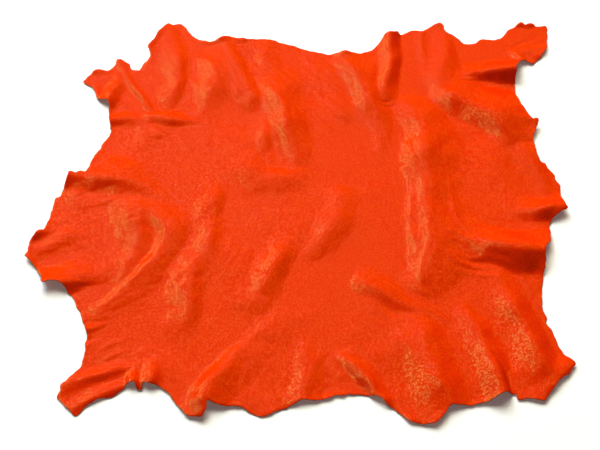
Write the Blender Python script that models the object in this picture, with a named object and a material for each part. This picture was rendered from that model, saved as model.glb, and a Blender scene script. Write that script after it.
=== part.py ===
"""A small tanned skin lying loose on a flat surface: one closed sheet of soft leather.

The skin keeps its trimmed outline, with a neck, a rump and four leg flaps.  It touches the surface between its
folds.  Each fold is a row of a table: a crest line with the height it lifts the leather to, and how far the
leather runs down on either hand of it.  From above, the neck points to -X, the rump to +X, and the two legs on
the +Y side are called far, the other two near.  The tables are in millimetres.
"""
import math

import bpy
import numpy as np
from mathutils import Vector
from mathutils.geometry import delaunay_2d_cdt

MM = 0.001                # a millimetre in metres
THICKNESS = 1.4           # soft garment leather
EDGE_SPACING = 7.0        # between points along the cut edge
EDGE_MARGIN = 6.0         # kept clear of inner points along the cut edge
CREST_SPACING = 10.0      # between points along a fold's crest
CREST_GAP = 6.5           # kept between two crests' points, and between them and the others
LEAST_CREST = 2.0         # the lift from which a crest gets points of its own
BEND_SPAN = 12.0          # a bend is how far the skin is off a straight line over this span each way
LATTICES = (              # spacing of the inner points, and the least bend that calls for it, tightest first
    (8.8, 1.3),
    (14.0, 0.6),
    (24.0, 0.0),
)
CURVE_STEPS = 8           # steps of a smooth line between two table points
CORNER_SLACK = 0.55       # how round the knife went about the outline's corners, from 0 to 1

FOLD_SHARPNESS = 3        # how strictly the higher of two crossing folds wins
CREST_ROUNDING = 0.35     # share of the mean reach over which one hand's reach turns into the other's
TOUCH_LIFT = 0.1          # a lift smaller than this lies flat

LEATHER_COLOUR = (0.855, 0.063, 0.006, 1.0)
LEATHER_ROUGHNESS = 0.42

# The trimmed edge as (x, y), clockwise from the throat, one row for each stretch of the skin.
OUTLINE = {
    "throat": ((-384, 50), (-376, 55), (-368, 85), (-367, 94), (-362, 97), (-356, 95), (-349, 98), (-341, 97),
               (-333, 125), (-306, 186), (-313, 209), (-317, 242), (-334, 250)),
    "far fore leg": ((-345, 278), (-361, 291), (-357, 300), (-350, 304), (-345, 311), (-338, 315), (-322, 314),
                     (-312, 328), (-309, 338), (-303, 339), (-287, 330), (-283, 318), (-270, 315), (-262, 330)),
    "far shoulder": ((-254, 341), (-254, 354), (-258, 365), (-253, 377), (-227, 422), (-219, 418), (-207, 420),
                     (-198, 415), (-185, 393), (-156, 378), (-143, 380), (-122, 391), (-95, 385)),
    "far belly": ((-48, 383), (0, 364), (28, 356), (50, 350), (93, 355), (104, 353)),
    "far flank": ((127, 366), (145, 388), (155, 392), (167, 400), (172, 398), (192, 405), (208, 403),
                  (240, 421), (247, 414), (250, 402), (270, 388), (279, 376)),
    "far hind leg": ((299, 376), (312, 385), (333, 385), (345, 390), (358, 408), (369, 414), (380, 422),
                     (389, 418), (400, 420), (406, 416), (423, 418), (423, 405), (417, 356), (390, 328),
                     (382, 332), (374, 330), (362, 307)),
    "rump, far side": ((356, 272), (364, 237), (379, 205), (388, 204), (387, 196), (376, 170), (380, 145),
                       (386, 121), (392, 119), (396, 107), (402, 97), (406, 80), (411, 74), (409, 58)),
    "rump, near side": ((415, 29), (418, 26), (414, 21), (406, 19), (384, -5), (386, -17), (383, -38),
                        (375, -49), (373, -67), (361, -155), (366, -169), (365, -177), (371, -189)),
    "near hind leg": ((381, -229), (400, -249), (398, -254), (386, -268), (378, -272), (357, -296),
                      (349, -309), (325, -305), (311, -305), (308, -297)),
    "near flank": ((279, -309), (245, -317), (216, -320), (192, -344), (157, -341), (135, -322), (124, -315),
                   (118, -307), (102, -301)),
    "near belly": ((90, -300), (50, -300), (32, -308), (0, -310), (-11, -316), (-42, -327), (-56, -332),
                   (-68, -328), (-83, -318), (-120, -316)),
    "near shoulder": ((-132, -313), (-133, -328), (-139, -336), (-159, -333), (-188, -297), (-200, -287),
                      (-225, -281), (-227, -290), (-232, -289), (-238, -281), (-246, -282)),
    "near fore leg": ((-252, -290), (-270, -302), (-284, -305), (-299, -314), (-319, -331), (-334, -316),
                      (-347, -303), (-342, -292), (-342, -284), (-317, -253)),
    "neck": ((-313, -197), (-320, -181), (-327, -157), (-333, -150), (-338, -135), (-357, -116), (-375, -110),
             (-381, -111), (-384, -114), (-387, -112), (-388, -103)),
    "muzzle": ((-402, -80), (-421, -62), (-416, -50), (-413, -32), (-403, -16), (-396, -13)),
}

# Each fold: its name, its reach on the right hand and on the left hand of the crest line, and the crest's
# points as (x, y, lift).
FOLDS = (
    ("far shoulder roll", 37, 19, (-224, 425, 2), (-208, 365, 5), (-202, 315, 7), (-205, 270, 6), (-224, 228, 0)),
    ("shoulder swell", 55, 20, (-134, 392, 6), (-118, 350, 7), (-98, 305, 6), (-86, 262, 5), (-92, 212, 0)),
    ("shoulder hump", 39, 55, (-160, 372, 2), (-146, 325, 6), (-142, 285, 7), (-152, 235, 4), (-162, 190, 0)),
    ("far belly fold", 34, 48, (-98, 392, 3), (-70, 355, 5), (-48, 305, 6), (-38, 255, 7), (-27, 200, 7),
     (-15, 150, 6), (-4, 105, 0)),
    ("far belly pleat", 12, 11, (-64, 222, 0), (-60, 185, 3), (-58, 150, 4), (-56, 115, 0)),
    ("back hump", 25, 42, (16, 118, 0), (-12, 100, 5), (-42, 94, 6), (-74, 104, 4), (-98, 132, 0)),
    ("far flank roll", 30, 32, (80, 362, 6), (87, 322, 7), (99, 285, 7), (111, 245, 7), (122, 205, 6),
     (127, 160, 5), (128, 105, 0)),
    ("far flank ridge", 20, 23, (151, 402, 13), (149, 350, 13), (142, 300, 13), (136, 262, 8), (143, 232, 0)),
    ("far flank step", 27, 16, (112, 350, 2), (113, 305, 4), (116, 272, 5), (130, 240, 0)),
    ("loin ridge", 50, 62, (162, 262, 0), (184, 218, 6), (198, 150, 9), (203, 80, 9), (206, 5, 9),
     (203, -45, 8), (190, -95, 6), (186, -150, 0)),
    ("loin pleat", 16, 12, (166, 200, 0), (176, 140, 5), (178, 70, 6), (173, 5, 7), (174, -45, 6), (166, -95, 0)),
    ("far thigh roll", 36, 34, (246, 412, 4), (246, 360, 6), (237, 318, 7), (232, 292, 8), (234, 262, 4),
     (226, 225, 0)),
    ("far thigh pleat", 20, 11, (207, 405, 4), (209, 337, 4), (206, 250, 0)),
    ("rump band", 40, 75, (228, 300, 5), (244, 266, 8), (275, 242, 9), (302, 223, 9), (327, 205, 8),
     (338, 180, 6), (344, 145, 0)),
    ("rump shelf", 19, 34, (390, 201, 9), (358, 205, 7), (330, 206, 0)),
    ("far hind leg arch", 37, 22, (365, 308, 21), (333, 308, 20), (300, 305, 12), (255, 298, 0)),
    ("far hind leg hump", 23, 23, (418, 355, 5), (390, 360, 4), (348, 378, 0)),
    ("far hind leg pleat", 11, 11, (374, 335, 9), (362, 352, 5), (350, 368, 0)),
    ("tail fold", 36, 23, (420, 27, 13), (385, 24, 13), (350, 24, 6), (315, 30, 0)),
    ("rump edge roll", 31, 20, (352, 175, 0), (364, 135, 7), (374, 100, 8), (392, 68, 6), (405, 45, 4)),
    ("rump arch", 47, 34, (374, -56, 21), (335, -57, 21), (300, -52, 15), (268, -38, 8), (222, -4, 0)),
    ("near thigh roll", 42, 20, (285, -72, 0), (312, -130, 6), (326, -170, 8), (338, -208, 9), (350, -252, 8),
     (372, -290, 5)),
    ("near hind leg hump", 27, 16, (402, -245, 5), (378, -270, 7), (350, -305, 5)),
    ("near thigh ridge", 31, 19, (232, -122, 0), (258, -178, 6), (278, -235, 10), (291, -288, 13),
     (297, -315, 15)),
    ("near flank roll", 55, 23, (162, -155, 0), (184, -212, 6), (202, -265, 8), (220, -325, 9)),
    ("near belly ridge", 12, 23, (46, -225, 0), (68, -247, 4), (89, -270, 7), (108, -304, 11)),
    ("flank cross roll", 22, 23, (78, -100, 0), (106, -118, 4), (134, -138, 9), (160, -152, 8), (198, -166, 4),
     (236, -178, 0)),
    ("middle roll", 38, 36, (26, 40, 0), (-8, -22, 6), (-44, -82, 7), (-62, -130, 5), (-86, -190, 0)),
    ("back roll", 50, 45, (118, 150, 0), (92, 85, 5), (58, 5, 7), (36, -45, 5), (4, -95, 0)),
    ("shoulder roll", 45, 31, (-152, 85, 0), (-136, 38, 6), (-134, -20, 7), (-140, -85, 7), (-152, -145, 5),
     (-176, -210, 0)),
    ("near shoulder ridge", 17, 39, (-248, 26, 0), (-222, 17, 5), (-207, -10, 7), (-217, -55, 8),
     (-243, -100, 8), (-270, -130, 7), (-300, -154, 4), (-322, -166, 0)),
    ("near shoulder step", 47, 17, (-222, 40, 0), (-243, 12, 5), (-252, -35, 6), (-266, -85, 4),
     (-290, -120, 0)),
    ("neck arch", 28, 16, (-272, -84, 0), (-302, -90, 6), (-332, -97, 14), (-358, -104, 18), (-390, -112, 19)),
    ("muzzle ridge", 25, 18, (-330, -10, 0), (-355, -28, 4), (-385, -48, 6), (-418, -60, 5)),
    ("muzzle pleat", 16, 12, (-360, 4, 0), (-384, -12, 4), (-413, -24, 6)),
    ("throat roll", 36, 16, (-190, 66, 0), (-232, 72, 5), (-270, 79, 9), (-305, 84, 8), (-340, 90, 6),
     (-374, 99, 8)),
    ("shoulder cross roll", 20, 12, (-128, 198, 0), (-170, 207, 4), (-215, 212, 7), (-246, 212, 4), (-262, 208, 0)),
    ("fore leg cross roll", 20, 12, (-246, 204, 0), (-282, 205, 7), (-316, 200, 11)),
    ("far fore leg ridge", 8, 12, (-303, 336, 2), (-290, 302, 4), (-271, 270, 6), (-252, 240, 4), (-236, 215, 0)),
    ("far fore leg root", 16, 20, (-296, 322, 0), (-308, 285, 6), (-322, 242, 12)),
    ("near fore leg root", 12, 9, (-272, -170, 0), (-320, -193, 5)),
    ("near fore leg pleat", 17, 11, (-236, -225, 0), (-240, -255, 6), (-241, -286, 13)),
    ("near shoulder pleat", 22, 14, (-204, -180, 0), (-212, -230, 5), (-213, -284, 14)),
    ("near fore leg hump", 19, 19, (-240, -256, 3), (-285, -264, 5), (-338, -286, 3)),
    ("near fore leg rim", 20, 9, (-262, -295, 5), (-300, -309, 6), (-322, -328, 2)),
    ("near belly roll", 20, 48, (-20, -150, 0), (-62, -192, 5), (-94, -230, 8), (-112, -262, 11),
     (-130, -288, 13), (-136, -312, 14)),
    ("near belly hump", 30, 23, (0, -190, 0), (4, -245, 5), (0, -315, 8)),
)


def smooth_line(points, slack=1.0):
    """Centripetal Catmull-Rom line through the points: a Hermite span between each two neighbours, straighter
    and with tighter corners where the slack is under 1."""
    points = np.asarray(points, float)
    padded = np.vstack([2 * points[:1] - points[1:2], points, 2 * points[-1:] - points[-2:-1]])
    gap = np.sqrt(np.linalg.norm(np.diff(padded[:, :2], axis=0), axis=1))[:, None]
    slope = np.diff(padded, axis=0) / gap
    chord = (padded[2:] - padded[:-2]) / (gap[1:] + gap[:-1])
    tangent = slack * (slope[:-1] - chord + slope[1:])
    start, end, span = padded[1:-2, None], padded[2:-1, None], gap[1:-1, None]
    leave, arrive = span * tangent[:-1, None], span * tangent[1:, None]
    t = (np.arange(CURVE_STEPS) / CURVE_STEPS)[None, :, None]
    line = ((1 + 2 * t) * (1 - t) ** 2 * start + t * (1 - t) ** 2 * leave
            + t * t * (3 - 2 * t) * end + t * t * (t - 1) * arrive)
    return np.vstack([line.reshape(-1, points.shape[1]), points[-1:]])


def fold_lift(spots, right_reach, left_reach, crest):
    """Lift of one fold over the spots: its crest's lift at the nearest crest point, run down to nothing at
    the reach as 1 - 5 q / 4 + ((2 q - 1)^5 + 1) / 8, a nearly straight flank with a round crest and foot,
    where q is the distance over the reach of the hand that the spot lies on."""
    line = smooth_line(crest)
    start, step = line[:-1], np.diff(line, axis=0)
    length = np.hypot(step[:, 0], step[:, 1])
    off_x = spots[:, None, 0] - start[:, 0]
    off_y = spots[:, None, 1] - start[:, 1]
    along = np.clip((off_x * step[:, 0] + off_y * step[:, 1]) / length ** 2, 0, 1)
    away = np.hypot(off_x - along * step[:, 0], off_y - along * step[:, 1])
    sideways = (step[:, 0] * off_y - step[:, 1] * off_x) / length
    nearest = (np.arange(len(spots)), np.argmin(away, axis=1))
    lift = start[nearest[1], 2] + along[nearest] * step[nearest[1], 2]
    turn = CREST_ROUNDING * (right_reach + left_reach) / 2
    share = np.clip(sideways[nearest] / turn, -1, 1) / 2 + 0.5
    share = share * share * (3 - 2 * share)
    reach = right_reach + (left_reach - right_reach) * share
    q = np.clip(away[nearest] / reach, 0, 1)
    return lift * (1 - 1.25 * q + ((2 * q - 1) ** 5 + 1) / 8)


def skin_lift(spots):
    """Lift of the skin's underside over the spots: all folds together, the higher one nearly alone."""
    total = np.zeros(len(spots))
    for _, right_reach, left_reach, *crest in FOLDS:
        total += fold_lift(spots, right_reach, left_reach, crest) ** FOLD_SHARPNESS
    return np.maximum(total ** (1 / FOLD_SHARPNESS) - TOUCH_LIFT, 0)


def even_points(line, spacing):
    """Points at even steps along a line, from its start and without its end."""
    run = np.concatenate([[0], np.cumsum(np.hypot(*np.diff(line[:, :2], axis=0).T))])
    stations = np.linspace(0, run[-1], max(round(run[-1] / spacing), 1), endpoint=False)
    return np.column_stack([np.interp(stations, run, column) for column in line.T])


def cut_edge():
    """The trimmed edge as an even ring of points, anticlockwise from above."""
    corners = [corner for stretch in OUTLINE.values() for corner in stretch]
    return even_points(smooth_line(corners + corners[:1], slack=CORNER_SLACK), EDGE_SPACING)[::-1]


def well_inside(spots, edge):
    """Which spots lie inside the edge and clear of it: a ray to +X crosses the edge an odd number of times."""
    ahead = np.roll(edge, -1, axis=0)
    x, y = spots[:, None, 0], spots[:, None, 1]
    spans = (edge[:, 1] > y) != (ahead[:, 1] > y)
    rise = np.where(ahead[:, 1] == edge[:, 1], 1, ahead[:, 1] - edge[:, 1])
    crossing = edge[:, 0] + (y - edge[:, 1]) / rise * (ahead[:, 0] - edge[:, 0])
    inside = (spans & (x < crossing)).sum(axis=1) % 2 == 1
    return inside & (nearest_gap(spots, edge) > EDGE_MARGIN)


def nearest_gap(spots, others):
    """Distance from each spot to the nearest of the others."""
    return np.hypot(spots[:, None, 0] - others[:, 0], spots[:, None, 1] - others[:, 1]).min(axis=1)


def triangle_lattice(low, high, spacing):
    """Points of an even triangular lattice over a box."""
    row_gap = spacing * math.sqrt(3) / 2
    columns, rows = np.ceil((high - low) / (spacing, row_gap)).astype(int) + 1
    row, column = np.mgrid[0:rows, 0:columns]
    return np.column_stack([(low[0] + (column + row % 2 / 2) * spacing).ravel(),
                            (low[1] + row * row_gap).ravel()])


def bend(spots):
    """How far the skin is off a straight line over the bend span, in the worst of three directions."""
    level = skin_lift(spots)
    most = np.zeros(len(spots))
    for degrees in (0, 60, 120):
        aside = BEND_SPAN * np.array([math.cos(math.radians(degrees)), math.sin(math.radians(degrees))])
        middle = (skin_lift(spots + aside) + skin_lift(spots - aside)) / 2
        most = np.maximum(most, abs(middle - level))
    return most


def crest_points(edge):
    """Points along the folds' crests, the highest folds first, where the crest shows above its neighbours."""
    chosen = np.empty((0, 2))
    for _, _, _, *crest in sorted(FOLDS, key=lambda fold: -max(point[2] for point in fold[3:])):
        spots = even_points(smooth_line(crest), CREST_SPACING)
        spots = spots[spots[:, 2] >= LEAST_CREST]
        spots = spots[spots[:, 2] > skin_lift(spots[:, :2]) - 1][:, :2]
        spots = spots[well_inside(spots, edge)]
        if len(chosen):
            spots = spots[nearest_gap(spots, chosen) > CREST_GAP]
        chosen = np.vstack([chosen, spots])
    return chosen


def inner_points(edge):
    """Points within the edge: along the crests, close together over the folds, wide apart between them."""
    low, high = edge.min(axis=0), edge.max(axis=0)
    chosen = [(crest_points(edge), CREST_GAP)]
    for spacing, least_bend in LATTICES:
        spots = triangle_lattice(low, high, spacing)
        spots = spots[well_inside(spots, edge)]
        spots = spots[bend(spots) >= least_bend]
        for closer, closer_spacing in chosen:
            spots = spots[nearest_gap(spots, closer) > closer_spacing]
        chosen.append((spots, spacing))
    return np.vstack([spots for spots, _ in chosen])


def skin_underside(name):
    """The skin's underside as a mesh: triangles between the edge and the inner points, lifted by the folds."""
    edge = cut_edge()
    spots = np.vstack([edge, inner_points(edge)])
    within_the_ring, merge_distance = 1, 0.001
    placed, _, triangles, *_ = delaunay_2d_cdt(
        [Vector(spot) for spot in spots], [], [list(range(len(edge)))], within_the_ring, merge_distance)
    placed = np.array([tuple(spot) for spot in placed])
    places = np.column_stack([placed, skin_lift(placed)]) * MM
    mesh = bpy.data.meshes.new(name)
    mesh.from_pydata(places.tolist(), [], triangles)
    mesh.shade_smooth()
    return mesh


def leather():
    """Smooth finished grain leather in one orange-red dye."""
    material = bpy.data.materials.new("orange leather")
    material.use_nodes = True
    shader = material.node_tree.nodes["Principled BSDF"]
    shader.inputs["Base Color"].default_value = LEATHER_COLOUR
    shader.inputs["Roughness"].default_value = LEATHER_ROUGHNESS
    shader.inputs["Metallic"].default_value = 0.0
    return material


def centre_on_origin(thing):
    """Shift a thing's mesh so that its finished box stands on the origin by the middle of its bottom."""
    evaluated = thing.evaluated_get(bpy.context.evaluated_depsgraph_get())
    corners = np.array([tuple(corner) for corner in evaluated.bound_box])
    low, high = corners.min(axis=0), corners.max(axis=0)
    shift = -(low + high) / 2
    shift[2] = -low[2]
    places = np.empty(len(thing.data.vertices) * 3)
    thing.data.vertices.foreach_get("co", places)
    thing.data.vertices.foreach_set("co", (places.reshape(-1, 3) + shift).ravel())
    thing.data.update()


def build():
    for thing in list(bpy.data.objects):
        bpy.data.objects.remove(thing, do_unlink=True)
    hide = bpy.data.objects.new("hide", skin_underside("hide"))
    bpy.context.collection.objects.link(hide)
    hide.data.materials.append(leather())
    body = hide.modifiers.new("thickness", "SOLIDIFY")
    body.thickness = THICKNESS * MM
    body.offset = 1.0
    body.use_rim = True
    bpy.context.view_layer.update()
    centre_on_origin(hide)


build()
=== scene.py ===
"""A small tanned skin in orange-red nappa, lying rumpled on a white table in soft studio light."""
import math

import bpy
import numpy as np
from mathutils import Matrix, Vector
from mathutils.geometry import delaunay_2d_cdt


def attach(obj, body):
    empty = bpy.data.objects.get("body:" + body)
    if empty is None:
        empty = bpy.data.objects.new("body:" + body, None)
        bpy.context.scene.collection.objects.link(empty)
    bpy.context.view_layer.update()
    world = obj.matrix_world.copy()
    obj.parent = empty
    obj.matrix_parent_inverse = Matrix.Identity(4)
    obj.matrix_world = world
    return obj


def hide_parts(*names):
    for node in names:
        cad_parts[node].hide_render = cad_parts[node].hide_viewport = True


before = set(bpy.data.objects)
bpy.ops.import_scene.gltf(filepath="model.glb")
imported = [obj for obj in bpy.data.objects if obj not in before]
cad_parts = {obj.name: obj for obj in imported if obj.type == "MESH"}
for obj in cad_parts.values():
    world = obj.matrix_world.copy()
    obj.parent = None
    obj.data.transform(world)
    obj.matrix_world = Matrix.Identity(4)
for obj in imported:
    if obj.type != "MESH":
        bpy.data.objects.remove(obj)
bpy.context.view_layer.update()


# ---- The cut edge
# The skin was trimmed with a knife after tanning, round a neck, a rump and four leg flaps, so its edge is a
# bare ragged cut.  Seen from above, the outline runs clockwise from the throat, with the neck to -X and the
# far legs to +Y.  The skin's own sizes are in millimetres and become metres in its mesh.
MM = 0.001
OUTLINE = {
    "throat": ((-384, 50), (-376, 55), (-368, 85), (-367, 94), (-362, 97), (-356, 95), (-349, 98),
               (-341, 97), (-333, 125), (-306, 186), (-313, 209), (-317, 242), (-334, 250)),
    "far fore leg": ((-345, 278), (-361, 291), (-357, 300), (-350, 304), (-345, 311), (-338, 315),
                     (-322, 314), (-312, 328), (-309, 338), (-303, 339), (-287, 330), (-283, 318),
                     (-270, 315), (-262, 330)),
    "far shoulder": ((-254, 341), (-254, 354), (-258, 365), (-253, 377), (-227, 422), (-219, 418),
                     (-207, 420), (-198, 415), (-185, 393), (-156, 378), (-143, 380), (-122, 391),
                     (-95, 385)),
    "far belly": ((-48, 383), (0, 364), (28, 356), (50, 350), (93, 355), (104, 353)),
    "far flank": ((127, 366), (145, 388), (155, 392), (167, 400), (172, 398), (192, 405), (208, 403),
                  (240, 421), (247, 414), (250, 402), (270, 388), (279, 376)),
    "far hind leg": ((299, 376), (312, 385), (333, 385), (345, 390), (358, 408), (369, 414), (380, 422),
                     (389, 418), (400, 420), (406, 416), (423, 418), (423, 405), (417, 356), (390, 328),
                     (382, 332), (374, 330), (362, 307)),
    "rump, far side": ((356, 272), (364, 237), (379, 205), (388, 204), (387, 196), (376, 170), (380, 145),
                       (386, 121), (392, 119), (396, 107), (402, 97), (406, 80), (411, 74), (409, 58)),
    "rump, near side": ((415, 29), (418, 26), (414, 21), (406, 19), (384, -5), (386, -17), (383, -38),
                        (375, -49), (373, -67), (361, -155), (366, -169), (365, -177), (371, -189)),
    "near hind leg": ((381, -229), (400, -249), (398, -254), (386, -268), (378, -272), (357, -296),
                      (349, -309), (325, -305), (311, -305), (308, -297)),
    "near flank": ((279, -309), (245, -317), (216, -320), (192, -344), (157, -341), (135, -322),
                   (124, -315), (118, -307), (102, -301)),
    "near belly": ((90, -300), (50, -300), (32, -308), (0, -310), (-11, -316), (-42, -327), (-56, -332),
                   (-68, -328), (-83, -318), (-120, -316)),
    "near shoulder": ((-132, -313), (-133, -328), (-139, -336), (-159, -333), (-188, -297), (-200, -287),
                      (-225, -281), (-227, -290), (-232, -289), (-238, -281), (-246, -282)),
    "near fore leg": ((-252, -290), (-270, -302), (-284, -305), (-299, -314), (-319, -331), (-334, -316),
                      (-347, -303), (-342, -292), (-342, -284), (-317, -253)),
    "neck": ((-313, -197), (-320, -181), (-327, -157), (-333, -150), (-338, -135), (-357, -116),
             (-375, -110), (-381, -111), (-384, -114), (-387, -112), (-388, -103)),
    "muzzle": ((-402, -80), (-421, -62), (-416, -50), (-413, -32), (-403, -16), (-396, -13)),
}
EDGE_STEP = 2.6           # between points along the cut
CURVE_STEPS = 8           # steps of a smooth line between two table points
CORNER_SLACK = 0.55       # how round the knife went about the outline's corners, from 0 to 1
RAG_SIZES = ((2.2, 0.35), (5.0, 0.55), (11.0, 0.7))     # length along the edge and depth of its wobbles
RAG_SEED = 11


def smooth_line(points, slack=1.0):
    """Centripetal Catmull-Rom line through the points: a Hermite span between each two neighbours,
    straighter and with tighter corners where the slack is under 1."""
    points = np.asarray(points, float)
    padded = np.vstack([2 * points[:1] - points[1:2], points, 2 * points[-1:] - points[-2:-1]])
    gap = np.sqrt(np.linalg.norm(np.diff(padded[:, :2], axis=0), axis=1))[:, None]
    slope = np.diff(padded, axis=0) / gap
    chord = (padded[2:] - padded[:-2]) / (gap[1:] + gap[:-1])
    tangent = slack * (slope[:-1] - chord + slope[1:])
    start, end, span = padded[1:-2, None], padded[2:-1, None], gap[1:-1, None]
    leave, arrive = span * tangent[:-1, None], span * tangent[1:, None]
    t = (np.arange(CURVE_STEPS) / CURVE_STEPS)[None, :, None]
    line = ((1 + 2 * t) * (1 - t) ** 2 * start + t * (1 - t) ** 2 * leave
            + t * t * (3 - 2 * t) * end + t * t * (t - 1) * arrive)
    return np.vstack([line.reshape(-1, points.shape[1]), points[-1:]])


def blurred_ring(values, width):
    """A closed row of values blurred by a Gaussian that many steps wide, scaled back to unit deviation."""
    step = np.fft.rfftfreq(len(values))
    blurred = np.fft.irfft(np.fft.rfft(values) * np.exp(-2 * (math.pi * step * width) ** 2), len(values))
    return (blurred - blurred.mean()) / blurred.std()


def outward_from(ring):
    """Unit vectors out of an anticlockwise ring, each square to the line between its point's neighbours."""
    ahead = np.roll(ring, -1, axis=0) - np.roll(ring, 1, axis=0)
    return np.column_stack([ahead[:, 1], -ahead[:, 0]]) / np.hypot(*ahead.T)[:, None]


def cut_edge():
    """The trimmed edge as an even ring of points, anticlockwise, with the knife's wobbles in and out."""
    corners = [corner for stretch in OUTLINE.values() for corner in stretch]
    ring = smooth_line(corners + corners[:1], CORNER_SLACK)[::-1]
    run = np.concatenate([[0], np.cumsum(np.hypot(*np.diff(ring, axis=0).T))])
    stations = np.linspace(0, run[-1], round(run[-1] / EDGE_STEP), endpoint=False)
    edge = np.column_stack([np.interp(stations, run, ring[:, 0]), np.interp(stations, run, ring[:, 1])])
    random = np.random.default_rng(RAG_SEED)
    wobble = sum(depth * blurred_ring(random.normal(size=len(edge)), length / EDGE_STEP)
                 for length, depth in RAG_SIZES)
    return edge + wobble[:, None] * outward_from(edge)


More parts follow.
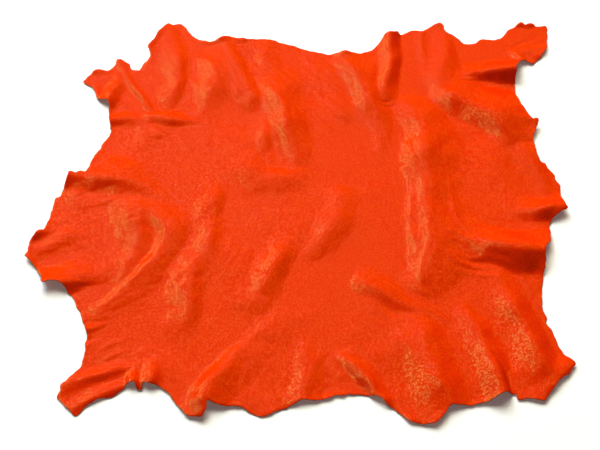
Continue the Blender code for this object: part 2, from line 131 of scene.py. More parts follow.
# ---- The folds
# The soft skin was thrown down and never pulled flat, so it stands in folds from its edge inward and rests
# on the table between them.  A row is a fold: how far the leather runs down on the right hand and on the
# left hand of its crest line, seen along it, and that line's places, each with its lift.
FOLDS = (
    ("far shoulder roll", 37, 19, (-224, 425, 2), (-208, 365, 5), (-202, 315, 7), (-205, 270, 6),
     (-224, 228, 0)),
    ("shoulder swell", 55, 20, (-134, 392, 6), (-118, 350, 7), (-98, 305, 6), (-86, 262, 5),
     (-92, 212, 0)),
    ("shoulder hump", 39, 55, (-160, 372, 2), (-146, 325, 6), (-142, 285, 7), (-152, 235, 5),
     (-162, 190, 0)),
    ("far belly fold", 36, 48, (-98, 392, 3), (-70, 355, 5), (-48, 305, 6), (-38, 255, 8), (-27, 200, 9),
     (-15, 150, 8), (-4, 105, 0)),
    ("far belly pleat", 18, 12, (-64, 222, 0), (-60, 185, 3.5), (-56, 150, 4.5), (-50, 115, 0)),
    ("back hump", 25, 42, (16, 118, 0), (-12, 100, 5), (-42, 94, 6), (-74, 104, 4), (-98, 132, 0)),
    ("far flank roll", 30, 32, (80, 362, 6), (87, 322, 7), (99, 285, 8), (111, 245, 8.5), (122, 205, 7.5),
     (127, 160, 5), (128, 105, 0)),
    ("far flank ridge", 20, 23, (151, 402, 13), (149, 350, 13), (142, 300, 13), (136, 262, 8),
     (143, 232, 0)),
    ("far flank step", 27, 16, (112, 350, 2), (113, 305, 4), (116, 272, 5), (130, 240, 0)),
    ("loin ridge", 46, 70, (162, 262, 0), (184, 218, 9), (198, 150, 13), (203, 80, 13), (206, 5, 13),
     (203, -45, 11), (190, -95, 9), (186, -150, 0)),
    ("loin pleat", 16, 16, (166, 200, 0), (176, 140, 5), (178, 70, 5), (173, 5, 5.5), (174, -45, 5),
     (166, -95, 0)),
    ("far thigh roll", 36, 34, (246, 412, 4), (246, 360, 7), (237, 318, 8), (232, 292, 9), (234, 262, 4),
     (226, 225, 0)),
    ("far thigh pleat", 20, 11, (207, 405, 4), (209, 337, 4), (206, 250, 0)),
    ("rump band", 36, 75, (228, 300, 8), (244, 266, 12), (275, 242, 14), (302, 223, 16), (327, 205, 15),
     (338, 180, 10), (344, 145, 0)),
    ("rump shelf", 19, 34, (390, 201, 9), (358, 205, 7), (330, 206, 0)),
    ("far hind leg arch", 37, 22, (365, 308, 21), (333, 308, 20), (300, 305, 12), (255, 298, 0)),
    ("far hind leg hump", 23, 23, (418, 355, 5), (390, 360, 4), (348, 378, 0)),
    ("far hind leg pleat", 11, 11, (374, 335, 9), (362, 352, 5), (350, 368, 0)),
    ("tail fold", 36, 23, (420, 27, 13), (385, 24, 13), (350, 24, 6), (315, 30, 0)),
    ("rump edge roll", 31, 24, (352, 175, 0), (364, 135, 4), (374, 100, 5), (392, 68, 5), (405, 45, 4)),
    ("rump arch", 47, 34, (374, -56, 21), (335, -57, 21), (300, -52, 15), (268, -38, 8), (222, -4, 0)),
    ("near thigh roll", 42, 30, (285, -72, 0), (312, -130, 7), (326, -170, 10), (338, -208, 11),
     (350, -252, 9), (372, -290, 5)),
    ("near hind leg hump", 27, 16, (402, -245, 5), (378, -270, 7), (350, -305, 5)),
    ("near thigh ridge", 31, 19, (232, -122, 0), (258, -178, 6), (278, -235, 10), (291, -288, 13),
     (297, -315, 15)),
    ("near flank roll", 55, 36, (162, -155, 0), (184, -212, 8), (202, -265, 11), (220, -325, 11)),
    ("near belly ridge", 12, 23, (46, -225, 0), (68, -247, 4), (89, -270, 7), (108, -304, 11)),
    ("flank cross roll", 22, 38, (80, -98, 0), (94, -104, 6), (122, -122, 7), (148, -140, 6),
     (190, -158, 3), (236, -178, 0)),
    ("middle roll", 32, 28, (-5, 5, 0), (-20, -35, 6), (-46, -88, 7.5), (-60, -125, 6), (-80, -165, 0)),
    ("back roll", 30, 34, (78, 75, 0), (68, 57, 5), (58, 19, 6), (40, -13, 6), (26, -42, 5), (4, -80, 0)),
    ("shoulder roll", 40, 30, (-140, 85, 0), (-136, 45, 7), (-136, 0, 7.5), (-146, -50, 5),
     (-152, -100, 0)),
    ("shoulder low roll", 42, 28, (-150, -30, 0), (-158, -70, 6), (-166, -115, 7.5), (-170, -160, 6),
     (-180, -210, 0)),
    ("near shoulder ridge", 17, 39, (-248, 26, 0), (-222, 17, 5), (-207, -10, 7), (-217, -55, 8),
     (-243, -100, 8), (-270, -130, 7), (-300, -154, 4), (-322, -166, 0)),
    ("near shoulder step", 58, 30, (-222, 40, 0), (-243, 12, 6), (-252, -35, 7), (-266, -85, 5),
     (-290, -120, 0)),
    ("neck arch", 45, 20, (-272, -92, 0), (-302, -98, 6), (-332, -106, 12), (-358, -114, 15),
     (-390, -121, 15)),
    ("muzzle ridge", 25, 20, (-330, -10, 0), (-355, -28, 3), (-385, -48, 4), (-418, -60, 3)),
    ("muzzle pleat", 16, 14, (-360, 4, 0), (-384, -12, 2), (-413, -24, 4)),
    ("throat roll", 60, 30, (-190, 54, 0), (-232, 68, 5), (-270, 78, 8), (-305, 85, 9), (-340, 91, 7),
     (-374, 97, 8)),
    ("shoulder cross roll", 20, 14, (-128, 198, 0), (-170, 207, 3), (-215, 212, 5), (-246, 212, 3),
     (-262, 208, 0)),
    ("fore leg cross roll", 20, 16, (-246, 204, 0), (-282, 205, 4), (-316, 200, 9)),
    ("far fore leg ridge", 8, 12, (-303, 336, 2), (-290, 302, 4), (-271, 270, 6), (-252, 240, 4),
     (-236, 215, 0)),
    ("far fore leg root", 16, 20, (-296, 322, 0), (-308, 285, 6), (-322, 242, 12)),
    ("near fore leg root", 12, 9, (-272, -170, 0), (-320, -193, 5)),
    ("near fore leg pleat", 17, 14, (-236, -235, 0), (-240, -262, 4), (-241, -286, 12)),
    ("near shoulder pleat", 22, 18, (-206, -205, 0), (-212, -248, 3), (-213, -284, 12)),
    ("near fore leg hump", 19, 19, (-240, -256, 3), (-285, -264, 5), (-338, -286, 3)),
    ("near fore leg rim", 20, 9, (-262, -295, 5), (-300, -309, 6), (-322, -328, 2)),
    ("near belly roll", 26, 48, (-20, -150, 0), (-62, -192, 5), (-94, -230, 8), (-112, -262, 11),
     (-130, -288, 13), (-136, -312, 14)),
    ("near belly hump", 30, 34, (0, -190, 0), (4, -245, 5), (0, -315, 6)),
)
# A crease is narrow, runs down as far on both hands, and is pressed in where its lift is below 0.
CREASES = (
    ("leg tip crease", 5, (366, 414, 0), (384, 404, -3), (402, 410, -2)),
    ("leg long crease", 6, (420, 392, -3), (395, 385, -3), (368, 368, -1.5), (340, 352, 0)),
    ("leg short crease", 4, (412, 372, -2), (390, 368, -1.5), (372, 358, 0)),
    ("arch wrinkle high", 3.5, (262, 306, 0), (282, 304, 1.6), (302, 309, 0)),
    ("arch wrinkle middle", 3.5, (258, 297, 0), (276, 294, 1.8), (300, 297, 0)),
    ("arch wrinkle low", 3.5, (262, 286, 0), (284, 282, 1.6), (312, 284, 0)),
    ("ridge foot crease high", 4, (124, 250, 0), (134, 240, -2.2), (146, 240, -2), (156, 246, 0)),
    ("ridge foot crease low", 4, (122, 240, 0), (134, 230, -1.8), (150, 229, -1.6), (160, 234, 0)),
    ("thigh groove", 7, (262, -195, 0), (285, -225, -2), (300, -260, -5), (309, -298, -6)),
    ("loin line", 5, (197, 60, 0), (198, 10, 1.2), (195, -35, 1.4), (183, -75, 1.6), (180, -110, 1.8),
     (183, -135, 0)),
    ("loin near line", 5, (166, 20, 0), (168, -25, 1.4), (165, -50, 1.4), (162, -80, 0)),
    ("arch wrinkle near high", 4, (240, -52, 0), (262, -62, 1.8), (292, -62, 0)),
    ("arch wrinkle near middle", 4, (236, -66, 0), (262, -76, 1.8), (300, -78, 0)),
    ("arch wrinkle near low", 4, (250, -84, 0), (276, -92, 1.6), (312, -94, 0)),
    ("neck wrinkle high", 3.5, (-352, -106, 0), (-320, -108, 1.5), (-288, -102, 0)),
    ("neck wrinkle low", 3.5, (-345, -120, 0), (-316, -118, 1.5), (-284, -112, 0)),
    ("neck edge crease", 5, (-330, -152, -3), (-312, -158, -2), (-290, -160, 0)),
    ("leg root crease", 5, (-322, -178, -3), (-304, -176, -2), (-272, -168, 0)),
    ("leg root low crease", 5, (-314, -206, -3), (-296, -200, -2), (-268, -188, 0)),
    ("fore leg rib", 5, (-300, -228, 0), (-272, -214, 1.6), (-250, -206, 0)),
    ("fore leg low rib", 6, (-296, -246, 0), (-270, -234, 1.8), (-246, -220, 0)),
    ("belly crease", 6, (62, -236, 0), (84, -254, 1.6), (104, -284, 2.0), (108, -304, 1.5)),
    ("thigh seam", 5, (176, -262, 0), (194, -272, 1.5), (206, -300, 1.8), (212, -318, 1)),
    ("thigh wrinkle", 5, (240, 62, 0), (244, 30, 1.5), (252, -5, 1.2), (272, -35, 0)),
    ("thigh long wrinkle", 5, (226, -8, 0), (244, -20, 1.4), (262, -34, 1.3), (286, -58, 0)),
)
MAP_STEP = 1.5            # between the points of the height maps
MAP_LOW = (-460.0, -385.0)
MAP_HIGH = (465.0, 470.0)
FOLD_SHARPNESS = 3        # how strictly the higher of two crossing folds wins
CREST_ROUNDING = 0.35     # share of the mean reach over which one hand's reach turns into the other's
FOLD_SOFTNESS = 2.2       # radius that the leather's stiffness rounds every fold to
CREASE_SOFTNESS = 1.0
WAVERS = ((30.0, 3.0), (10.0, 1.0))     # size across and push of the wavers in a fold's run
LIFT_CHANGE, CHANGE_SIZE = 0.16, 22.0   # share by which a fold's lift changes, and over what length
UNEVENNESS = ((30.0, 1.3), (14.0, 0.6), (6.5, 0.25), (3.2, 0.10))     # size and height of the skin's lumps
# A patch of fine wrinkles: its middle and radius, and its wrinkles' angle, length, width and height.
WRINKLED_PATCHES = (
    ("throat", -290, 30, 45, 18, 16, 2.4, 0.32),
    ("throat foot", -230, 90, 40, 25, 14, 2.4, 0.28),
    ("neck", -375, -45, 35, 12, 12, 2.4, 0.35),
    ("near shoulder", -270, -160, 50, 32, 14, 2.4, 0.35),
    ("near shoulder fold", -190, -110, 50, 62, 14, 2.4, 0.26),
    ("near fore leg", -290, -255, 40, 20, 12, 2.4, 0.35),
    ("far shoulder", -150, 300, 70, -65, 10, 2.6, 0.28),
    ("far fore leg", -280, 270, 45, -50, 12, 2.4, 0.35),
    ("shoulder", -220, 195, 55, 4, 16, 2.4, 0.28),
    ("far belly fold", -50, 190, 55, -70, 12, 2.4, 0.26),
    ("far belly", 30, 260, 60, -48, 18, 2.4, 0.28),
    ("back", -40, -60, 70, 60, 12, 2.6, 0.22),
    ("loin", 185, 40, 45, -85, 14, 2.4, 0.26),
    ("loin far", 180, 140, 45, -80, 14, 2.4, 0.26),
    ("flank cross", 120, -140, 55, -35, 10, 2.4, 0.28),
    ("rump", 270, 240, 50, -40, 9, 3.4, 0.20),
    ("rump arch", 270, -50, 50, -25, 14, 2.4, 0.35),
    ("near thigh", 270, -230, 60, -65, 12, 3.4, 0.20),
    ("near belly", -10, -260, 70, 70, 9, 2.4, 0.30),
    ("near flank", 160, -260, 50, -75, 12, 3.4, 0.18),
    ("far hind leg", 370, 370, 45, 25, 14, 2.4, 0.35),
)
FRILL_REACH, FRILL_SIZE = 7.0, 9.0      # how far in and how long along the edge the lifted stretches are
FRILL_LIFT, FRILL_BIAS = 1.8, 0.3       # their lift, and how much more of the edge lifts than lies flat
TABLE_SOFTNESS = 0.9      # how gently the skin comes to rest on the table
LUMP_SEED = 5

map_x = np.arange(MAP_LOW[0], MAP_HIGH[0], MAP_STEP)
map_y = np.arange(MAP_LOW[1], MAP_HIGH[1], MAP_STEP)
lump_random = np.random.default_rng(LUMP_SEED)


def fold_lift(x, y, right_reach, left_reach, crest):
    """Lift of one fold: its crest's lift at the nearest crest point, run down to nothing at the reach as
    1 - 5 q / 4 + ((2 q - 1)^5 + 1) / 8, a nearly straight flank with a round crest and foot, where q is the
    distance over the reach of the hand that the point lies on."""
    line = smooth_line(crest)
    nearest, lift, sideways = np.full(x.shape, np.inf), np.zeros(x.shape), np.zeros(x.shape)
    for start, step in zip(line[:-1], np.diff(line, axis=0)):
        length = math.hypot(step[0], step[1])
        along = np.clip(((x - start[0]) * step[0] + (y - start[1]) * step[1]) / length ** 2, 0, 1)
        away_x, away_y = x - start[0] - along * step[0], y - start[1] - along * step[1]
        away = np.hypot(away_x, away_y)
        closer = away < nearest
        nearest = np.where(closer, away, nearest)
        lift = np.where(closer, start[2] + along * step[2], lift)
        sideways = np.where(closer, (step[0] * away_y - step[1] * away_x) / length, sideways)
    turn = CREST_ROUNDING * (right_reach + left_reach) / 2
    share = np.clip(sideways / turn, -1, 1) / 2 + 0.5
    share = share * share * (3 - 2 * share)
    q = np.clip(nearest / (right_reach + (left_reach - right_reach) * share), 0, 1)
    return lift * (1 - 1.25 * q + ((2 * q - 1) ** 5 + 1) / 8)


def fold_map(folds, sharpness):
    """Height map of many folds together: the root of the sum of their powers, so the higher wins nearly
    alone.  A sharpness of 1 is their plain sum."""
    total = np.zeros((len(map_y), len(map_x)))
    for _, right_reach, left_reach, *crest in folds:
        points = np.array(crest, float)
        reach = max(right_reach, left_reach)
        left, right = np.searchsorted(map_x, [points[:, 0].min() - reach, points[:, 0].max() + reach])
        low, high = np.searchsorted(map_y, [points[:, 1].min() - reach, points[:, 1].max() + reach])
        x, y = np.meshgrid(map_x[left:right], map_y[low:high])
        total[low:high, left:right] += fold_lift(x, y, right_reach, left_reach, points) ** sharpness
    return total ** (1 / sharpness) if sharpness > 1 else total


def blurred_map(heights, width, length=None, angle=0.0):
    """A map blurred by a Gaussian of that width in millimetres, and of that length along the angle in
    degrees from +X, by way of its Fourier transform."""
    per_y, per_x = np.meshgrid(*(np.fft.fftfreq(size, MAP_STEP) for size in heights.shape), indexing="ij")
    turn = math.radians(angle)
    along = per_x * math.cos(turn) + per_y * math.sin(turn)
    across = per_y * math.cos(turn) - per_x * math.sin(turn)
    spread = ((length or width) * along) ** 2 + (width * across) ** 2
    return np.fft.ifft2(np.fft.fft2(heights) * np.exp(-2 * math.pi ** 2 * spread)).real


def lumps(width, length=None, angle=0.0):
    """Map of smooth random lumps and hollows about that size, with a mean of 0 and a deviation of 1."""
    blurred = blurred_map(lump_random.normal(size=(len(map_y), len(map_x))), width, length, angle)
    return (blurred - blurred.mean()) / blurred.std()


def fading_patch(x, y, patch_x, patch_y, radius):
    """1 at the middle of a patch, falling off as a Gaussian of its radius."""
    return np.exp(-((x - patch_x) ** 2 + (y - patch_y) ** 2) / (2 * radius ** 2))


def fine_wrinkles():
    """The skin's fine wrinkles: streaks along each patch's own direction, fading out from its middle."""
    x, y = np.meshgrid(map_x, map_y)
    total = np.zeros(x.shape)
    for _, patch_x, patch_y, radius, angle, length, width, height in WRINKLED_PATCHES:
        total += fading_patch(x, y, patch_x, patch_y, radius) * height * lumps(width, length, angle)
    return total


def read_map(heights, x, y):
    """Values of a map at any points, straight between the four map points round each."""
    column = np.clip((x - map_x[0]) / MAP_STEP, 0, len(map_x) - 1)
    row = np.clip((y - map_y[0]) / MAP_STEP, 0, len(map_y) - 1)
    left = np.minimum(column.astype(int), len(map_x) - 2)
    low = np.minimum(row.astype(int), len(map_y) - 2)
    across, up = column - left, row - low
    return ((heights[low, left] * (1 - across) + heights[low, left + 1] * across) * (1 - up)
            + (heights[low + 1, left] * (1 - across) + heights[low + 1, left + 1] * across) * up)


def wavered(heights):
    """The map with its folds pushed to and fro and their lift changed along their run."""
    x, y = np.meshgrid(map_x, map_y)
    for size, push in WAVERS:
        x = x + push * lumps(size)
        y = y + push * lumps(size)
    return read_map(heights, x, y) * (1 + LIFT_CHANGE * lumps(CHANGE_SIZE))


def inside_edge(edge, x, y):
    """Which of a row of x at one y lie inside the edge: a ray to +X crosses it an odd number of times."""
    ahead = np.roll(edge, -1, axis=0)
    spans = (edge[:, 1] > y) != (ahead[:, 1] > y)
    start, end = edge[spans], ahead[spans]
    crossings = start[:, 0] + (y - start[:, 1]) / (end[:, 1] - start[:, 1]) * (end[:, 0] - start[:, 0])
    return (crossings > x[:, None]).sum(axis=1) % 2 == 1


def near_edge_map(edge, reach):
    """1 along the cut edge, falling to nothing about two reaches inside it: twice what the blurred inside
    lacks of 1, held between 0 and 1."""
    inside = np.array([inside_edge(edge, map_x, y) for y in map_y], float)
    return np.clip(2 - 2 * blurred_map(inside, reach), 0, 1)


def skin_height_map(edge):
    """Height of the skin's underside: the folds, creases, lumps, wrinkles and the edge's frill added up,
    and laid on the table by the soft floor (h + root(h^2 + softness^2)) / 2."""
    heights = blurred_map(wavered(fold_map(FOLDS, FOLD_SHARPNESS)), FOLD_SOFTNESS)
    creases = [(name, reach, reach, *run) for name, reach, *run in CREASES]
    heights += blurred_map(wavered(fold_map(creases, 1)), CREASE_SOFTNESS)
    heights += sum(height * lumps(size) for size, height in UNEVENNESS) + fine_wrinkles()
    frill = np.maximum(FRILL_LIFT * (lumps(FRILL_SIZE) + FRILL_BIAS), 0)
    heights += near_edge_map(edge, FRILL_REACH) * frill
    return (heights + np.hypot(heights, TABLE_SOFTNESS)) / 2


edge_ring = cut_edge()
skin_map = skin_height_map(edge_ring)


# ---- The skin
# One piece of full-grain leather: a smooth grain side on top, a napped flesh side underneath and the bare
# cut round the edge.  The grain side is a fine net of even triangles, the flesh side a coarser one a
# leather's thickness under it, and the cut is a rounded band between them.
LEATHER_THICKNESS = 1.4
GRAIN_STEP, FLESH_STEP = 2.9, 7.0       # between points over each side
EDGE_MARGIN = 0.7         # share of a step kept clear of inner points along the cut
MERGE_DISTANCE = 0.0001   # within which the net would join two points
CUT_CORNER = 0.22         # share of the thickness that each of the cut's worn corners takes
CUT_BULGE = 0.35          # how far the cut's middle stands out past its corners
GRAIN_SIDE, FLESH_SIDE, CUT = range(3)
# A patch where the fibres are loose, so that its grain is coarser: its middle and radius.
LOOSE_PATCHES = (
    ("rump band", 288, 215, 42),
    ("near flank", 165, -270, 51),
    ("near thigh", 268, -240, 42),
    ("near hind leg", 335, -225, 48),
    ("far hind leg", 380, 360, 48),
    ("near fore leg", -265, -235, 54),
    ("neck", -370, -80, 48),
    ("far fore leg", -310, 265, 42),
    ("near belly", -30, -290, 42),
)


def lattice_points(edge, step):
    """Points of an even triangular lattice inside the edge and clear of it: rows a step times root 3 / 2
    apart, every other one half a step along."""
    low, high = edge.min(axis=0), edge.max(axis=0)
    margin = EDGE_MARGIN * step
    rows = []
    for number, y in enumerate(np.arange(low[1] + margin, high[1], step * math.sqrt(3) / 2)):
        x = np.arange(low[0] + number % 2 * step / 2, high[0], step)
        x = x[inside_edge(edge, x, y)]
        near = edge[abs(edge[:, 1] - y) < margin]
        if len(near):
            x = x[np.hypot(x[:, None] - near[:, 0], y - near[:, 1]).min(axis=1) > margin]
        rows.append(np.column_stack([x, np.full(len(x), y)]))
    return np.vstack(rows)


def flat_net(edge, step):
    """Even triangles that fill the edge, seen from above: their points, with the edge ring first, and their
    corners, from a Delaunay net kept within that ring."""
    spots = np.vstack([edge, lattice_points(edge, step)])
    within_the_ring = 1
    placed, _, triangles, *_ = delaunay_2d_cdt(
        [Vector(spot) for spot in spots], [], [list(range(len(edge)))], within_the_ring, MERGE_DISTANCE)
    assert len(placed) == len(spots)
    return spots, np.array(triangles)


def skin_places(spots, heights, thickness):
    """Places in space over a height map, each pushed out along the map's normal by the thickness."""
    x, y = spots.T
    rise_y, rise_x = np.gradient(heights, MAP_STEP)
    normal = np.column_stack([-read_map(rise_x, x, y), -read_map(rise_y, x, y), np.ones(len(x))])
    normal /= np.linalg.norm(normal, axis=1)[:, None]
    return np.column_stack([x, y, read_map(heights, x, y)]) + thickness * normal


def lowest_near(heights, cells):
    """A map's lowest value within so many cells of each point."""
    lowest = heights
    for axis in (0, 1):
        lowest = np.minimum.reduce([np.roll(lowest, shift, axis) for shift in range(-cells, cells + 1)])
    return lowest


def cut_bands(rings):
    """Triangles that join neighbouring rings of point numbers, from the top corner to the bottom one."""
    bands = []
    for above, below in zip(rings[:-1], rings[1:]):
        above_ahead, below_ahead = np.roll(above, -1), np.roll(below, -1)
        bands.append(np.column_stack([above, below, below_ahead]))
        bands.append(np.column_stack([above, below_ahead, above_ahead]))
    return np.vstack(bands)


def looseness(x, y):
    """How loose the skin's fibres are, 0 over the back and 1 in the flanks, legs and neck: 1 less the
    product of what each loose patch leaves firm."""
    firm = np.ones(len(x))
    for _, patch_x, patch_y, radius in LOOSE_PATCHES:
        firm *= 1 - fading_patch(x, y, patch_x, patch_y, radius)
    return 1 - firm


def skin_mesh(edge, middle):
    """The skin's mesh about the middle of its outline's box, with a material each for its sides and cut."""
    grain_spots, grain_triangles = flat_net(edge, GRAIN_STEP)
    flesh_spots, flesh_triangles = flat_net(edge, FLESH_STEP)
    size = len(edge)
    grain = skin_places(grain_spots, skin_map, LEATHER_THICKNESS)
    flesh = skin_places(flesh_spots, lowest_near(skin_map, round(FLESH_STEP / 2 / MAP_STEP)), 0)
    flesh[:size] = skin_places(edge, skin_map, 0)
    bulge = CUT_BULGE * np.column_stack([outward_from(edge), np.zeros(size)])
    upper = flesh[:size] * CUT_CORNER + grain[:size] * (1 - CUT_CORNER) + bulge
    lower = flesh[:size] * (1 - CUT_CORNER) + grain[:size] * CUT_CORNER + bulge
    starts = np.cumsum([0, len(grain), size, size])
    cut = cut_bands([start + np.arange(size) for start in starts])
    places = np.vstack([grain, upper, lower, flesh])
    loose = looseness(*places[:, :2].T)
    places *= MM
    places[:, :2] -= middle
    faces = np.vstack([grain_triangles, flesh_triangles[:, ::-1] + starts[3], cut])
    side = np.repeat([GRAIN_SIDE, FLESH_SIDE, CUT], [len(grain_triangles), len(flesh_triangles), len(cut)])
    mesh = bpy.data.meshes.new("skin")
    mesh.from_pydata(places, [], faces.tolist())
    mesh.polygons.foreach_set("material_index", side.astype(np.int32))
    mesh.shade_smooth()
    mesh.attributes.new("loose", "FLOAT", "POINT").data.foreach_set("value", loose.astype(np.float32))
    return mesh


def add_object(name, data):
    """A new object in the scene, at the origin, unturned and unscaled."""
    made = bpy.data.objects.new(name, data)
    bpy.context.collection.objects.link(made)
    return made


outline_middle = (edge_ring.min(axis=0) + edge_ring.max(axis=0)) / 2 * MM
skin = add_object("skin", skin_mesh(edge_ring, outline_middle))


# ---- The leather's finish
# The grain side is dyed orange-red under a thin clear finish, which covers the tops of its pebbles and
# leaves the pits between them matt, and darker with painted shade and some deeper colour.  The flesh side
# and the cut are bare napped fibres.
# Patterns are sized by how many of their shapes there are to a metre.
GRAIN_COLOUR = (0.79, 0.032, 0.0003, 1.0)
GRAIN_DEEP = (0.73, 0.027, 0.0002, 1.0)
# The pits' colour: painted shade, with some deeper colour.
PIT_SHADE_AND_DYE_COLOUR = (0.68, 0.020, 0.0001, 1.0)
CLOUDS_TO_METRE = 14.0                  # of deeper dye
PEBBLES_TO_METRE = 330.0
LOOSE_PEBBLES_TO_METRE = 300.0
WRINKLES_TO_METRE = 280.0
WRINKLE_SHARE = 0.7                     # the fine wrinkles' depth over the pebbles'
TOP_DEPTH, PIT_DEPTH = 0.62, 0.97       # depths in the grain where its tops end and its pits begin
PIT_SHINE = 0.15                        # the finish left in the pits, over the tops'
COAT_SHARE = 0.45                       # how much of the grain's tops the clear finish covers
COAT_ROUGHNESS, DYE_ROUGHNESS = 0.20, 0.7
GRAIN_DEPTH = 0.13 * MM                 # from the pebbles' tops to the pits
FLESH_COLOUR, FLESH_ROUGHNESS = (0.60, 0.16, 0.05, 1.0), 0.9
CUT_COLOUR, CUT_ROUGHNESS = (0.34, 0.06, 0.012, 1.0), 0.85
FIBRES_TO_METRE = 900.0
FIBRE_DEPTH = 0.4 * MM
FIBRE_SHADE = 0.6                       # the painted shade between fibres: its colour over the colour of their tops


def new_material(name):
    """An empty material with its shader: the material, its tree and its Principled shader."""
    material = bpy.data.materials.new(name)
    material.use_nodes = True
    return material, material.node_tree, material.node_tree.nodes["Principled BSDF"]


def node(tree, kind, links=(), **settings):
    """A node with its settings, and its inputs fed by (input, value or output socket) pairs."""
    made = tree.nodes.new(kind)
    for name, value in settings.items():
        setattr(made, name, value)
    for name, source in links:
        if isinstance(source, bpy.types.NodeSocket):
            tree.links.new(source, made.inputs[name])
        else:
            made.inputs[name].default_value = source
    return made


def grain_leather():
    """The grain side.  Its depth is that of its pebbles, larger where the skin is loose, plus a share of
    fine wrinkles; the finish and the colour go from the tops' to the pits' as the depth grows, the pits'
    darker colour being painted shade with some deeper colour."""
    material, tree, shader = new_material("grain side")
    place = node(tree, "ShaderNodeTexCoord").outputs["Object"]
    clouds = node(tree, "ShaderNodeTexNoise", [
        ("Vector", place), ("Scale", CLOUDS_TO_METRE), ("Detail", 4.0)])
    top_dye = node(tree, "ShaderNodeMix", [
        ("Factor", clouds.outputs["Fac"]), ("A", GRAIN_COLOUR), ("B", GRAIN_DEEP)], data_type="RGBA")
    loose = node(tree, "ShaderNodeAttribute", attribute_name="loose").outputs["Fac"]
    fine = node(tree, "ShaderNodeTexVoronoi", [("Vector", place), ("Scale", PEBBLES_TO_METRE)])
    coarse = node(tree, "ShaderNodeTexVoronoi", [("Vector", place), ("Scale", LOOSE_PEBBLES_TO_METRE)])
    pebbles = node(tree, "ShaderNodeMix", [
        ("Factor", loose), ("A", fine.outputs["Distance"]), ("B", coarse.outputs["Distance"])],
        data_type="FLOAT")
    wrinkles = node(tree, "ShaderNodeTexNoise", [
        ("Vector", place), ("Scale", WRINKLES_TO_METRE), ("Detail", 3.0), ("Roughness", 0.6),
        ("Distortion", 0.5)])
    depth = node(tree, "ShaderNodeMath", [
        (0, wrinkles.outputs["Fac"]), (1, WRINKLE_SHARE), (2, pebbles.outputs["Result"])],
        operation="MULTIPLY_ADD").outputs["Value"]
    shine = node(tree, "ShaderNodeMapRange", [
        ("Value", depth), ("From Min", TOP_DEPTH), ("From Max", PIT_DEPTH), ("To Min", 1.0),
        ("To Max", PIT_SHINE)], interpolation_type="SMOOTHSTEP").outputs["Result"]
    coat = node(tree, "ShaderNodeMath", [(0, shine), (1, COAT_SHARE)], operation="MULTIPLY")
    # The colour darkens from the tops' into the pits: painted shade, with some deeper colour.
    dye_and_pit_shade = node(tree, "ShaderNodeMix", [
        ("Factor", shine), ("A", PIT_SHADE_AND_DYE_COLOUR), ("B", top_dye.outputs["Result"])], data_type="RGBA")
    bump = node(tree, "ShaderNodeBump", [
        ("Height", depth), ("Strength", 1.0), ("Distance", GRAIN_DEPTH)], invert=True)
    tree.links.new(coat.outputs["Value"], shader.inputs["Coat Weight"])
    tree.links.new(dye_and_pit_shade.outputs["Result"], shader.inputs["Base Color"])
    tree.links.new(bump.outputs["Normal"], shader.inputs["Normal"])
    tree.links.new(bump.outputs["Normal"], shader.inputs["Coat Normal"])
    shader.inputs["Coat Roughness"].default_value = COAT_ROUGHNESS
    shader.inputs["Roughness"].default_value = DYE_ROUGHNESS
    shader.inputs["Specular IOR Level"].default_value = 0.0
    return material


def nap_group():
    """The nap of bare fibres, a node group: a fine noise is their height, and mixes the painted shade
    between them with the colour of their tops."""
    group = bpy.data.node_groups.new("leather nap", "ShaderNodeTree")
    group.interface.new_socket("Place", in_out="INPUT", socket_type="NodeSocketVector")
    group.interface.new_socket("Tops", in_out="INPUT", socket_type="NodeSocketColor")
    group.interface.new_socket("Shade", in_out="INPUT", socket_type="NodeSocketColor")
    group.interface.new_socket("Colour", in_out="OUTPUT", socket_type="NodeSocketColor")
    group.interface.new_socket("Height", in_out="OUTPUT", socket_type="NodeSocketFloat")
    given = node(group, "NodeGroupInput").outputs
    fibres = node(group, "ShaderNodeTexNoise", [
        ("Vector", given["Place"]), ("Scale", FIBRES_TO_METRE), ("Detail", 3.0)]).outputs["Fac"]
    mix = node(group, "ShaderNodeMix", [
        ("Factor", fibres), ("A", given["Shade"]), ("B", given["Tops"])], data_type="RGBA")
    node(group, "NodeGroupOutput", [("Colour", mix.outputs["Result"]), ("Height", fibres)])
    return group


def napped_leather(name, nap, colour, roughness):
    """Bare leather, matt, with the nap in its own colour."""
    material, tree, shader = new_material(name)
    place = node(tree, "ShaderNodeTexCoord").outputs["Object"]
    shade = tuple(channel * FIBRE_SHADE for channel in colour[:3]) + (1.0,)
    fibres = node(tree, "ShaderNodeGroup", [("Place", place), ("Tops", colour), ("Shade", shade)],
                  node_tree=nap)
    bump = node(tree, "ShaderNodeBump", [
        ("Height", fibres.outputs["Height"]), ("Strength", 0.5), ("Distance", FIBRE_DEPTH)])
    tree.links.new(fibres.outputs["Colour"], shader.inputs["Base Color"])
    tree.links.new(bump.outputs["Normal"], shader.inputs["Normal"])
    shader.inputs["Roughness"].default_value = roughness
    return material


leather_nap = nap_group()
skin.data.materials.append(grain_leather())
skin.data.materials.append(napped_leather("flesh side", leather_nap, FLESH_COLOUR, FLESH_ROUGHNESS))
skin.data.materials.append(napped_leather("cut edge", leather_nap, CUT_COLOUR, CUT_ROUGHNESS))

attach(skin, "root")
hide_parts("hide")


# ---- The table and the studio light
# The skin lies on a white table.  Two soft lamps beyond it, one cool and one warm, light it but don't show
# in its gloss.  Three large panels show only there, tinted so that the gloss over the red dye is orange.
# Sizes are in metres and powers in watts.
TABLE_SIZE = 6.0
TABLE_COLOUR, TABLE_ROUGHNESS = (0.94, 0.95, 0.98, 1.0), 0.9
TABLE_GLOW, GLOW_STRENGTH = (1.0, 0.85, 0.95, 1.0), 0.08     # lifts its shadows, as a pale room would
ROOM_COLOUR, ROOM_STRENGTH = (1.0, 0.82, 0.66, 1.0), 0.07
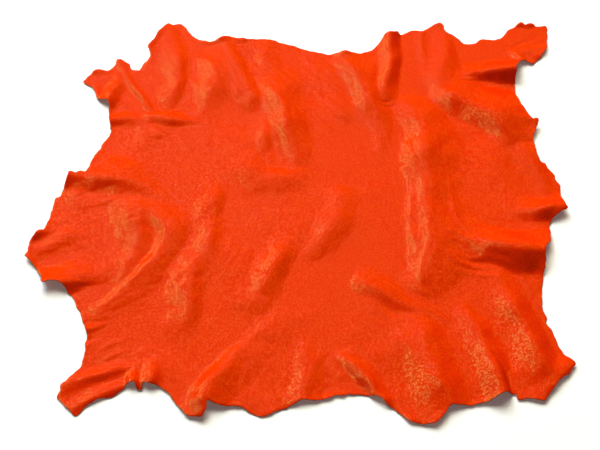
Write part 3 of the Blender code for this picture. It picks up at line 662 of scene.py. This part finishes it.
# A lamp: its name, place, turns, width, length, power and colour.
LAMPS = (
    ("key", (-2.5, 5.1, 5.0), None, 4.6, 4.6, 600, (0.80, 0.93, 1.0)),
    ("overhead", (-0.5, 3.6, 4.8), (-35, 0, 0), 4.5, 4.5, 335, (1.0, 0.90, 0.62)),
)
PANELS = (
    ("ceiling sheen", (0.5, 14.5, 14.0), (0, 0, 0), 25.0, 26.0, 3300, (0.05, 1.0, 0.02)),
    ("far wall sheen", (0.0, 27.5, 7.0), (-90, 0, 0), 44.0, 14.0, 2500, (0.05, 1.0, 0.02)),
    ("neck side sheen", (-12.0, 12.0, 7.5), (0, -52, 14), 16.0, 29.0, 11000, (0.15, 1.0, 0.26)),
)


def white_surface():
    """The table's matt white, with a faint glow of its own: painted light that lifts its shadows."""
    material, _, shader = new_material("white table")
    shader.inputs["Base Color"].default_value = TABLE_COLOUR
    shader.inputs["Emission Color"].default_value = TABLE_GLOW
    shader.inputs["Emission Strength"].default_value = GLOW_STRENGTH
    shader.inputs["Roughness"].default_value = TABLE_ROUGHNESS
    shader.inputs["Specular IOR Level"].default_value = 0.0
    return material


def softbox(name, place, turns, width, length, power, colour):
    """A rectangular lamp at a place, turned about X, Y and Z in degrees from facing straight down, or
    facing the skin where it has no turns."""
    lamp = bpy.data.lights.new(name, "AREA")
    lamp.shape, lamp.size, lamp.size_y = "RECTANGLE", width, length
    lamp.energy, lamp.color = power, colour
    holder = add_object(name, lamp)
    holder.location = place
    if turns:
        holder.rotation_euler = [math.radians(turn) for turn in turns]
    else:
        holder.rotation_euler = holder.location.to_track_quat("Z", "Y").to_euler()
    return holder


half = TABLE_SIZE / 2
table_mesh = bpy.data.meshes.new("table")
table_corners = [(-half, -half, 0), (half, -half, 0), (half, half, 0), (-half, half, 0)]
table_mesh.from_pydata(table_corners, [], [(0, 1, 2, 3)])
table_mesh.materials.append(white_surface())
table = add_object("table", table_mesh)
table.visible_glossy = False

for lamp in LAMPS:
    softbox(*lamp).visible_glossy = False
for panel in PANELS:
    softbox(*panel).visible_diffuse = False

world = bpy.data.worlds.new("studio")
world.use_nodes = True
world.node_tree.nodes["Background"].inputs["Color"].default_value = ROOM_COLOUR
world.node_tree.nodes["Background"].inputs["Strength"].default_value = ROOM_STRENGTH
bpy.context.scene.world = world
bpy.context.scene.view_settings.view_transform = "Standard"

# The camera looks down at the skin from its near side, through a portrait lens.
CAMERA_ELEVATION, CAMERA_DISTANCE, LENS = math.radians(55), 2.2, 85
camera_data = bpy.data.cameras.new("camera")
camera_data.lens = LENS
camera = add_object("camera", camera_data)
camera.location = (-outline_middle[0],
                   -outline_middle[1] - CAMERA_DISTANCE * math.cos(CAMERA_ELEVATION),
                   CAMERA_DISTANCE * math.sin(CAMERA_ELEVATION))
camera.rotation_euler = (math.pi / 2 - CAMERA_ELEVATION, 0, 0)
bpy.context.scene.camera = camera
